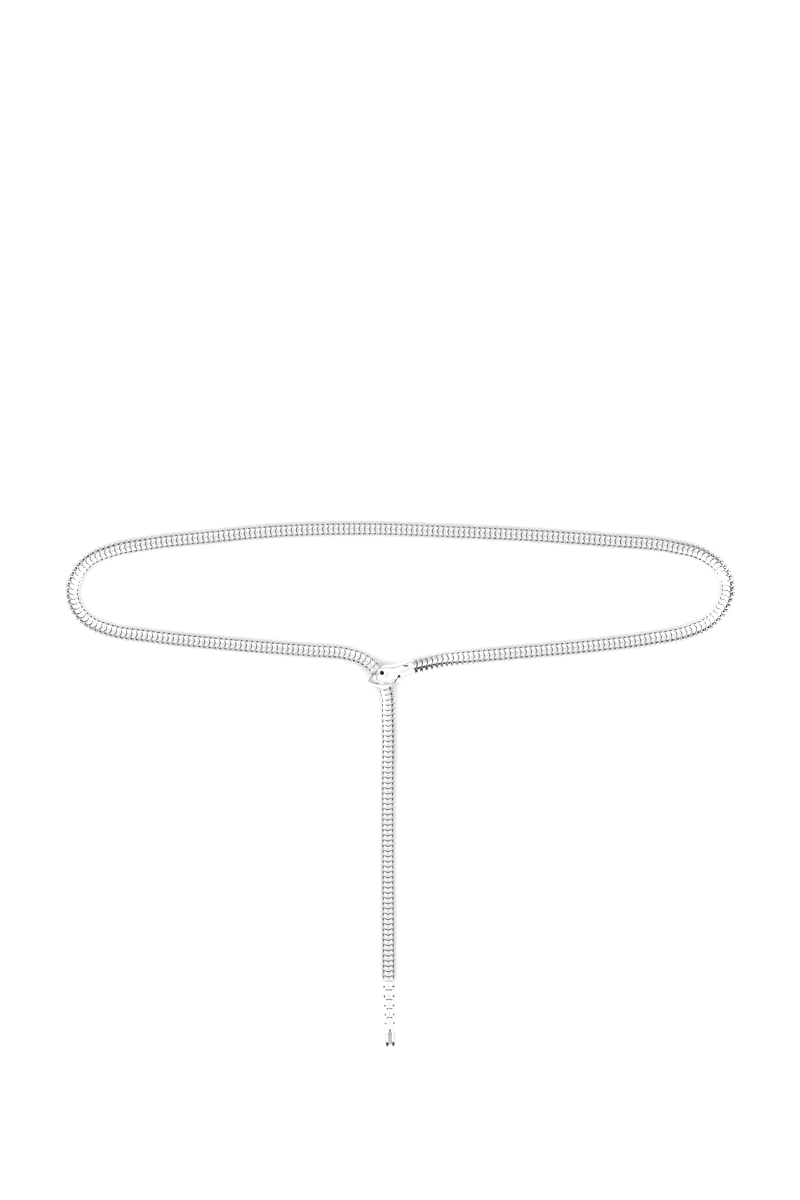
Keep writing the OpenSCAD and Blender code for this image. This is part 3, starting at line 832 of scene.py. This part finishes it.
# %% Values of the head
neck_end, head_turn = (7.35, 64.5), 194.6
neck_r, neck_z = 4.45, 5.3
skull_len, skull_w, skull_h = 22.5, 10.7, 5.2
jaw_t, jaw_reach, jaw_room, mouth_depth = 1.5, 3.5, 0.1, 0.7
hook_t, hook_bend, hook_rise, hook_sunk = 1.15, 0.84, 0.6, 0.15
chain_room, tilt_room = 0.4, 0.35
roof_z = hook_t + chain_room + chain_h + tilt_room
jaw_mid_z = roof_z + jaw_room + jaw_t / 2
skull_top, cheek_z, neck_top = roof_z + skull_h, roof_z + 0.7, neck_z + neck_r
passage_x, socket_depth, socket_r = 0.505 * skull_len, 5, 3.99
pin_x, pin_bore_r = 2.6, 0.6
eye_xy, eye_seat_r, eye_depth = (0.77 * skull_len, -0.145 * skull_w), 1.2, 2.2
pit_xy, pit_r, pit_depth = (0.395 * skull_len, 0.24 * skull_w), 0.75, 1.6
line_w, line_len, line_turn, line_depth = 0.35, 3.6, 38, 2.4
head_grain = 0.16
slit_start, slit_len, slit_turn, slit_w, slit_depth = (2.6, -1.7), 2.3, -14, 0.6, 1

# how much painted shade the line along the snout's foot gets at places along the head
foot_tones = ((11, 15, 17, 19, 20), (0.9, 0.7, 0.4, 0.5, 1))
snout_x, rim_w, foot_reach, mouth_reach = 19.5, 0.9, 0.55, 0.5
mouth_grey, rim_dark = 0.35, 0.75
# how soft the edges of the painted shade marks are, and how far below and above a cut they may lie
pit_rim, eye_rim, slit_rim, line_rim = 0.3, 0.08, 0.3, 0.25
mark_below, mark_above = 0.5, 0.4


def dome(share):
    """A height between the cheek, 0, and the top of the skull, 1."""
    return cheek_z + share * (skull_top - cheek_z)


neck_side = neck_r / skull_w
# share of the length, low and high side as shares of the width, bottom, widest height and top
head_rows = [
    (0.00, -neck_side, neck_side, neck_z - neck_r, neck_z, neck_top),
    (0.05, -neck_side, neck_side + 0.005, neck_z - neck_r, neck_z, neck_top),
    (0.17, -0.405, 0.435, 0.75, neck_z, neck_top),
    (0.285, -0.385, 0.48, 0.3, neck_z + 0.1, neck_top + 0.1),
    (0.39, -0.385, 0.51, 0.1, neck_z + 0.6, neck_top + 0.5),
    (0.49, -0.405, 0.525, 0.1, cheek_z - 0.8, dome(0.79)),
    (0.535, -0.425, 0.47, 0.1, cheek_z - 0.2, dome(0.87)),
    (0.605, -0.465, 0.49, 1, cheek_z, dome(0.96)),
    (0.68, -0.49, 0.51, 2, cheek_z, dome(1)),
    (0.765, -0.44, 0.48, 3, cheek_z, dome(0.97)),
    (0.85, -0.305, 0.42, 4, cheek_z, dome(0.82)),
    (0.925, -0.185, 0.32, 5, cheek_z, dome(0.58)),
    (0.98, -0.08, 0.21, 5.5, cheek_z, dome(0.3)),
    (1.00, -0.01, 0.11, 6, cheek_z, dome(0.12))]
# the fourth column is a share of the jaw's thickness
jaw_rows = [
    (0.40, -0.19, 0.40, 0.8), (0.48, -0.28, 0.51, 1), (0.55, -0.32, 0.60, 1),
    (0.61, -0.32, 0.665, 1), (0.67, -0.32, 0.70, 1), (0.72, -0.32, 0.69, 1),
    (0.77, -0.30, 0.62, 1), (0.82, -0.25, 0.51, 1), (0.87, -0.18, 0.41, 1),
    (0.92, -0.10, 0.32, 1), (0.96, -0.005, 0.235, 0.9), (0.99, 0.08, 0.17, 0.6),
    (1.00, 0.107, 0.145, 0.3)]
mouth_rows = [
    (0.73, -0.22, 0.24), (0.785, -0.195, 0.35), (0.825, -0.155, 0.35), (0.86, -0.105, 0.31),
    (0.895, -0.05, 0.255), (0.93, 0.01, 0.195), (0.96, 0.07, 0.14)]
hook_rows = [
    (0.33, -0.20, 0.34), (0.43, -0.32, 0.48), (0.67, -0.38, 0.50), (0.84, -0.30, 0.45),
    (0.94, -0.17, 0.32), (0.99, -0.04, 0.20)]

# %% Skull, jaw, hook and cuts
skull = scratch_object(lofted([(r * skull_len, a * skull_w, b * skull_w, *heights)
                               for r, a, b, *heights in head_rows]))
far = skull_len + 10
combined(skull, [block((passage_x, -far, -5), (far, far, roof_z))], "DIFFERENCE")

jaw_len, jaw_top = skull_len + jaw_reach, jaw_mid_z + jaw_t / 2
jaw = scratch_object(lofted([(r * jaw_len, a * skull_w, b * skull_w, jaw_mid_z - t * jaw_t / 2,
                              jaw_mid_z, jaw_mid_z + t * jaw_t / 2) for r, a, b, t in jaw_rows]))
hollow = lofted([(r * jaw_len, a * skull_w, b * skull_w, jaw_top - mouth_depth, jaw_top,
                  jaw_top + jaw_t / 2) for r, a, b in mouth_rows])
combined(jaw, [hollow], "DIFFERENCE")


def hook_ring(share, low, high):
    """A section of the hook, whose end bends up a little."""
    rise = hook_rise * (max(0, share - hook_bend) / (1 - hook_bend)) ** 2
    return (share * skull_len, low * skull_w, high * skull_w,
            rise - hook_sunk, rise + hook_t / 2, rise + hook_t)


combined(skull, [shape_of(jaw), lofted([hook_ring(*row) for row in hook_rows])], "UNION")
line_z = neck_top - line_depth
cuts = [
    block((-9, -far, -9), (far, far, 0.0)),
    tube(socket_r, 2 * socket_depth, (0, 0, neck_z), "X"),
    tube(pin_bore_r, 4 * neck_r, (pin_x, 0, neck_z), "Y"),
    drill(eye_seat_r, 6, eye_xy, skull_top - eye_depth),
    drill(pit_r, 8, pit_xy, neck_top - pit_depth),
    block((pit_xy[0], pit_xy[1] - line_w / 2, line_z),
          (pit_xy[0] + line_len, pit_xy[1] + line_w / 2, line_z + 9), line_turn),
    block((slit_start[0], slit_start[1] - slit_w / 2, neck_top - slit_depth),
          (slit_start[0] + slit_len, slit_start[1] + slit_w / 2, neck_top + 3), slit_turn)]
combined(skull, cuts, "DIFFERENCE")
head_mesh = polished_cast(skull, head_grain)


def side_at(rows, x, side, length):
    """Where the low side (1) or the high side (2) of a form lies at x."""
    return np.interp(x, [row[0] * length for row in rows], [row[side] * skull_w for row in rows])


def near(distance, reach):
    """1 on a line, fading to 0 at a distance."""
    return max(0, 1 - abs(distance) / reach)


def jaw_tone(co):
    """Painted shade: dark lines along the snout's foot and the mouth's rim, and grey in the mouth
    and on the jaw's far side."""
    tone = 0
    if co.x < skull_len:
        foot = near(co.y - side_at(head_rows, co.x, 2, skull_len), foot_reach)
        tone = np.interp(co.x, *foot_tones) * foot
    if co.x > snout_x:
        low, high = (side_at(mouth_rows, co.x, side, jaw_len) for side in (1, 2))
        if co.x < mouth_rows[-1][0] * jaw_len:
            grey = mouth_grey if low < co.y < high else 0
            tone = max(tone, near(co.y - high, mouth_reach), grey)
        edge = co.y - side_at(jaw_rows, co.x, 1, jaw_len)
        tone = max(tone, rim_dark if edge < rim_w else 0)
    return tone


def head_tone(co):
    """Painted shade: dark in the pit, the mouth line, the slit and the seat of the eye, and the
    jaw's tones.
    """
    if co.z < line_z - mark_below:
        return 0
    on_jaw = co.x > passage_x and co.z < jaw_top + mark_above
    return max(jaw_tone(co) if on_jaw else 0,
               in_hole(co, pit_xy, pit_r, pit_rim), in_hole(co, eye_xy, eye_seat_r, eye_rim),
               in_slot(co, slit_start, slit_len, slit_w, slit_turn, slit_rim),
               in_slot(co, pit_xy, line_len, line_w, line_turn, line_rim))


# painted shade by place, on top of the shade from the cavity measure
painted(head_mesh, head_tone)
head_mesh.transform(Matrix.Translation((*neck_end, 0))
                    @ Matrix.Rotation(math.radians(head_turn), 4, "Z"))
finished_cast(head_mesh, "head_casting", "snake_head")

# %% [markdown]
# ## The rattle
# Five bells hang one from another like the rattle of a snake: each has a narrow neck, swells and
# ends in a lip, and a ring on the next bell holds the bar inside. They are the same shape, each a
# little smaller, so one bell is cast and copied. The first bell has no ring: it carries the pair
# of scales that the chain's last link holds. The small notches beside the lip get dark painted
# shade, and the dimple over the bar and the shoulders beside the neck get grey painted shade.

# %% Values of the rattle
bells = 5
rattle_start, rattle_lean = (-6.3, -107.0), 1.6
rattle_pitch, rattle_w, rattle_h, rattle_taper = 5.45, 6.6, 5.0, 0.965
bar_x, bar_r, bar_h = 0.62 * rattle_pitch, 0.35, 3.8
bell_len = rattle_pitch - 0.6
ring_r, ring_wall, ring_h = 1.0, 0.4, 1.5
stem_w, stem_over = 1.6, 0.6
pocket_half, pocket_h = 1.35, 2.1
dimple_depth, notch_r, notch_xy = 0.3, 0.52, (0.76, 0.76)
# heights of the notches' floors and of the bell's face over the bar, as shares of half its height
notch_floor, face_at_bar = 0.62, 0.88
# how much painted shade the dimple over the bar and the shoulders beside the neck get
dimple_grey, shoulder_grey = 0.45, 0.8
shoulder_start, shoulder_len, shoulder_w, shoulder_turn = (-0.2, 0.95), 0.9, 0.4, 35
small_grain = 0.11
# share of the length, and half width and half height as shares of the largest
bell_rows = [
    (0, 0.40, 0.42), (0.10, 0.60, 0.62), (0.26, 0.79, 0.80), (0.48, 0.88, 0.88),
    (0.62, 0.87, 0.87), (0.76, 0.97, 0.97), (0.87, 1.00, 1.00), (0.96, 0.97, 0.97),
    (1.00, 0.90, 0.90)]


def rattle_size(i):
    """Size of segment i, when the first is 1."""
    return rattle_taper ** i


def rattle_at(i):
    """How far along the rattle segment i starts."""
    return sum(rattle_pitch * rattle_size(k) for k in range(i))


def along_rattle(i, size):
    """Matrix that puts a piece at segment i of the rattle."""
    height = rattle_h / 2 * rattle_size(i)
    return (Matrix.Translation((*rattle_start, 0))
            @ Matrix.Rotation(math.radians(rattle_lean - 90), 4, "Z")
            @ Matrix.Translation((rattle_at(i), 0, height)) @ Matrix.Scale(size, 4))


def even_rings(rows, half_w, half_h):
    """Rings with the same shape on both sides, from shares of half width and half height."""
    return [(x, -w * half_w, w * half_w, -h * half_h, 0, h * half_h) for x, w, h in rows]


# %% One bell and the ring that it hangs by
def hanging_ring():
    """A ring on a stem, joined."""
    middle = rattle_pitch - bar_x
    ring = scratch_object(tube(ring_r, ring_h, (-middle, 0, 0)))
    hole = [tube(ring_r - ring_wall, 2 * ring_h, (-middle, 0, 0))]
    combined(ring, hole, "DIFFERENCE")
    stem_low = (-middle + ring_r - ring_wall / 2, -stem_w / 2, -ring_h / 2)
    stem_high = (stem_over - ring_wall / 2, stem_w / 2, ring_h / 2)
    return combined(ring, [block(stem_low, stem_high)], "UNION")


bell = scratch_object(lofted(even_rings([(x * bell_len, w, h) for x, w, h in bell_rows],
                                        rattle_w / 2, rattle_h / 2), power=0.7))
notches = [drill(notch_r, 4, (notch_xy[0] * bell_len, side * notch_xy[1] * rattle_w / 2),
                 rattle_h / 2 * notch_floor, face)
           for side in (-1, 1) for face in (-1, 1)]
dimples = [drill(bar_r, 4, (bar_x, 0), rattle_h / 2 * face_at_bar - dimple_depth, face)
           for face in (-1, 1)]
pocket = block((bar_x - pocket_half, -pocket_half, -pocket_h / 2),
               (2 * bell_len, pocket_half, pocket_h / 2))
combined(bell, [pocket, *notches, *dimples], "DIFFERENCE")
combined(bell, [tube(bar_r, bar_h, (bar_x, 0, 0))], "UNION")
ringed = bell.copy()
ringed.data = bell.data.copy()
bpy.context.scene.collection.objects.link(ringed)
combined(ringed, [hanging_ring()], "UNION")
bell_mesh = polished_cast(bell, small_grain)
ringed_mesh = polished_cast(ringed, small_grain)


def bell_tone(co):
    """Painted shade: dark in the notches, grey in the dimple and on both shoulders beside the neck.
    """
    notch_at = (notch_xy[0] * bell_len, math.copysign(notch_xy[1] * rattle_w / 2, co.y))
    one_side = Vector((co.x, abs(co.y), co.z))
    shoulder = in_slot(one_side, shoulder_start, shoulder_len, shoulder_w, shoulder_turn)
    return max(in_hole(co, notch_at, notch_r), dimple_grey * in_hole(co, (bar_x, 0), bar_r),
               shoulder_grey * shoulder)


# painted shade by place, keeping a fifth of the shade from the cavity measure
painted(bell_mesh, bell_tone, keep=0.2)
painted(ringed_mesh, bell_tone, keep=0.2)

for i in range(bells):
    cast = (ringed_mesh if i else bell_mesh).copy()
    cast.transform(along_rattle(i, rattle_size(i)))
    finished_cast(cast, f"rattle_bell_{i + 1}", f"rattle_{i + 1}")

last_scales = bmesh.new()
marked(last_scales, [], FLAT)
scale_plates(last_scales)
for side in (-1, 1):
    tab(last_scales, side)
last_scales.transform(link_frame(loop_run + tail_run))
finished(last_scales, "last_scales", chain_silver, "rattle_1")

# %% [markdown]
# ## The forked tip
# The belt ends in a forked tip: a shoulder with a small pit, and two prongs that come to points.
# Both prongs are one loft and its mirror image. The sides of the prongs get grey painted shade and
# their points nearly black painted shade, which goes into the recess attribute by place.

# %% Tip
tip_len, tip_w, tip_h, tip_slot = 11.6, 5.0, 3.6, 1.8
prong_w = (tip_w - tip_slot) / 2
slot_end, tip_pit_x, tip_pit_r, tip_web = 0.34 * tip_len, 0.2 * tip_len, 0.5, 1
# where along the tip the painted shade on the points starts, how much later at their edges, and
# how softly
point_from, point_later, point_fade = 0.69, 0.07, 0.07
# where across the tip the painted shade on its outsides grows, as a share of half its width, and
# how softly
outside_from, outside_fade, outside_grey = 0.72, 0.3, 0.25
# grey painted shade on the prongs, where along the tip it starts and how fast, and the pit's soft
# rim
prong_grey, grey_from, grey_gain, tip_pit_rim = 0.2, 0.25, 8, 0.25
shoulder_rows = [(0, 0.30, 0.34), (0.08, 0.52, 0.60), (0.16, 0.80, 0.85), (0.26, 0.97, 1),
                 (0.32, 1, 1)]
# share of the length, inner and outer side as shares of a prong's width, and of the height
prong_rows = [
    (0.22, 0.20, 0.75, 0.70), (0.32, 0, 1, 1), (0.55, 0, 1, 1), (0.80, 0, 1, 0.92),
    (0.90, 0.12, 0.88, 0.66), (0.97, 0.30, 0.70, 0.34), (1, 0.42, 0.56, 0.10)]


def prong(side):
    """One prong, on the side asked for."""
    rings = []
    for x, inner, outer, h in prong_rows:
        low, high = sorted(side * (tip_slot / 2 + share * prong_w) for share in (inner, outer))
        rings.append((x * tip_len, low, high, -h * tip_h / 2, 0, h * tip_h / 2))
    return lofted(rings, power=0.7)


def prong_tone(co):
    """Painted shade: grey down the sides of the prongs, dark on their points and in the pit."""
    along = co.x / tip_len
    off_middle = abs(abs(co.y) - (tip_slot + prong_w) / 2) / (prong_w / 2)
    point = min(1, max(0, (along - point_from - point_later * off_middle) / point_fade))
    outside = max(0, min(1, (abs(co.y) - outside_from * tip_w / 2) / outside_fade))
    grey = (prong_grey + outside_grey * outside) * max(0, min(1, (along - grey_from) * grey_gain))
    return max(point, grey, in_hole(co, (tip_pit_x, 0), tip_pit_r, tip_pit_rim))


tip = scratch_object(lofted(even_rings([(x * tip_len, w, h) for x, w, h in shoulder_rows],
                                       tip_w / 2, tip_h / 2), power=0.7))
combined(tip, [prong(-1), prong(1)], "UNION")
pits = [drill(tip_pit_r, 4, (tip_pit_x, 0), tip_web / 2, face) for face in (-1, 1)]
combined(tip, [tube(tip_slot / 2, 9, (slot_end, 0, 0)), *pits], "DIFFERENCE")
ring = hanging_ring()
ring.data.transform(Matrix.Scale(rattle_size(bells), 4))
combined(tip, [ring], "UNION")
tip_mesh = polished_cast(tip, small_grain)
painted(tip_mesh, prong_tone, keep=0.5)
tip_mesh.transform(along_rattle(bells, 1))
finished_cast(tip_mesh, "forked_tip", "tail_tip")

# %% [markdown]
# ## Sizes and the last line
# The looks must not change the object's size, so both boxes are printed, one after the other.
# Meshes that only served the work are cleared away first.

# %% Sizes
for item in list(bpy.data.meshes):
    if item.users == 0:
        bpy.data.meshes.remove(item)
visual_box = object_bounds()
boxes = {"cad": [list(c) for c in cad_box], "visual": [list(c) for c in visual_box]}
for name, corners in boxes.items():
    print(name, [[round(v * 1000, 2) for v in corner] for corner in corners])
